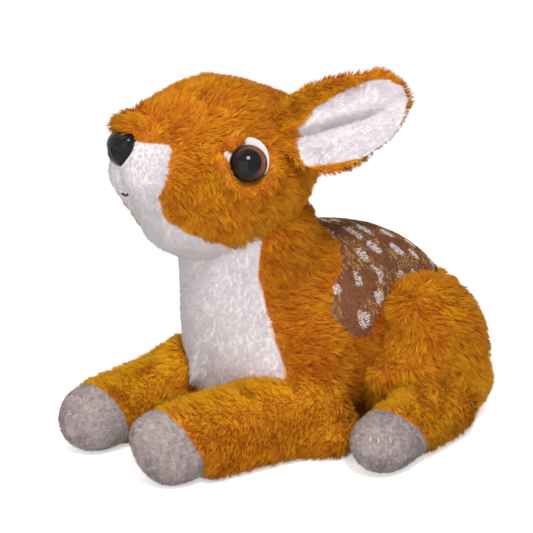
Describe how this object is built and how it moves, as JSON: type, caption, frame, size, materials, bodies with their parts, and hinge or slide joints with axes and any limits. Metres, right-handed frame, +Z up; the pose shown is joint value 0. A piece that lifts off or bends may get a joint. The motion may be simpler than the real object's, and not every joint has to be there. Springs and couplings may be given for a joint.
{
  "type": "stuffed toy fawn",
  "caption": "Small lying fawn soft toy in orange plush with a spotted brown back, white muzzle and bib, grey hooves, lined ears and glossy eyes and nose",
  "frame": {"origin": "on the ground under the flattened belly, 9 mm ahead of the belly panel", "axes": "+X to the toy's left, -Y to its front, +Z up"},
  "size_m": [0.1702, 0.2088, 0.1648],
  "materials": {
    "orange_plush": "shaggy pile plush",
    "white_plush": "short pile plush",
    "grey_plush": "short pile plush",
    "printed_plush": "short pile plush with pale printed spots",
    "white_felt": "felt",
    "eye_plastic": "polished",
    "nose_plastic": "polished",
    "washer_plastic": "moulded",
    "dark_thread": "thread",
    "fibre_fill": "loose polyester fibre",
    "pellet_cloth": "plain woven cloth"
  },
  "bodies": {
    "body": {"body": "orange_plush", "saddle": "printed_plush", "bib": "white_plush", "belly_panel": "orange_plush", "pellet_bag": "pellet_cloth", "body_filling": "fibre_fill"},
    "neck": {"neck": "orange_plush"},
    "head": {"head": "orange_plush", "muzzle": "white_plush", "head_filling": "fibre_fill", "nose": "nose_plastic", "nose_washer": "washer_plastic", "mouth_thread": "dark_thread", "eye_left": "eye_plastic", "eye_right": "eye_plastic", "eye_washer_left": "washer_plastic", "eye_washer_right": "washer_plastic", "eye_felt_left": "white_felt", "eye_felt_right": "white_felt"},
    "tail": {"tail": "orange_plush"},
    "ear_left": {"ear_left": "orange_plush", "ear_lining_left": "white_plush"},
    "front_leg_left": {"front_leg_left": "orange_plush", "front_hoof_left": "grey_plush"},
    "hind_leg_left": {"thigh_left": "orange_plush", "hind_leg_left": "orange_plush", "hind_hoof_left": "grey_plush"},
    "ear_right": {"ear_right": "orange_plush", "ear_lining_right": "white_plush"},
    "front_leg_right": {"front_leg_right": "orange_plush", "front_hoof_right": "grey_plush"},
    "hind_leg_right": {"thigh_right": "orange_plush", "hind_leg_right": "orange_plush", "hind_hoof_right": "grey_plush"}
  },
  "joints": [
    {"name": "head_turn", "type": "hinge", "parent": "body", "child": "neck", "pos_m": [0, -0.019, 0.098], "axis": [0, -0.5, 0.866], "range_deg": [-30, 30], "stiffness_Nm_per_rad": 0.03},
    {"name": "head_nod", "type": "hinge", "parent": "neck", "child": "head", "pos_m": [0, -0.019, 0.098], "axis": [1, 0, 0], "range_deg": [-11, 11], "stiffness_Nm_per_rad": 0.15},
    {"name": "ear_fold_left", "type": "hinge", "parent": "head", "child": "ear_left", "pos_m": [0.02743, -0.01585, 0.13586], "axis": [-0.3476, -0.0955, 0.9327], "range_deg": [-10, 10], "stiffness_Nm_per_rad": 0.01},
    {"name": "ear_fold_right", "type": "hinge", "parent": "head", "child": "ear_right", "pos_m": [-0.03583, -0.01151, 0.12726], "axis": [-0.1811, -0.4453, -0.8769], "range_deg": [-10, 10], "stiffness_Nm_per_rad": 0.01},
    {"name": "front_leg_swing_left", "type": "hinge", "parent": "body", "child": "front_leg_left", "pos_m": [0.031, -0.006, 0], "axis": [0, 0, 1], "range_deg": [-4, 22], "stiffness_Nm_per_rad": 0.02},
    {"name": "front_leg_swing_right", "type": "hinge", "parent": "body", "child": "front_leg_right", "pos_m": [-0.031, -0.01, 0], "axis": [0, 0, 1], "range_deg": [-22, 4], "stiffness_Nm_per_rad": 0.02},
    {"name": "hind_leg_roll_left", "type": "hinge", "parent": "body", "child": "hind_leg_left", "pos_m": [0.065, 0.05, 0.035], "axis": [1, 0, 0], "range_deg": [-24, 0], "stiffness_Nm_per_rad": 0.05},
    {"name": "hind_leg_roll_right", "type": "hinge", "parent": "body", "child": "hind_leg_right", "pos_m": [-0.065, 0.059, 0.035], "axis": [1, 0, 0], "range_deg": [-24, 0], "stiffness_Nm_per_rad": 0.05},
    {"name": "tail_lift", "type": "hinge", "parent": "body", "child": "tail", "pos_m": [0, 0.092, 0.048], "axis": [1, 0, 0], "range_deg": [-6, 30], "stiffness_Nm_per_rad": 0.005}
  ]
}
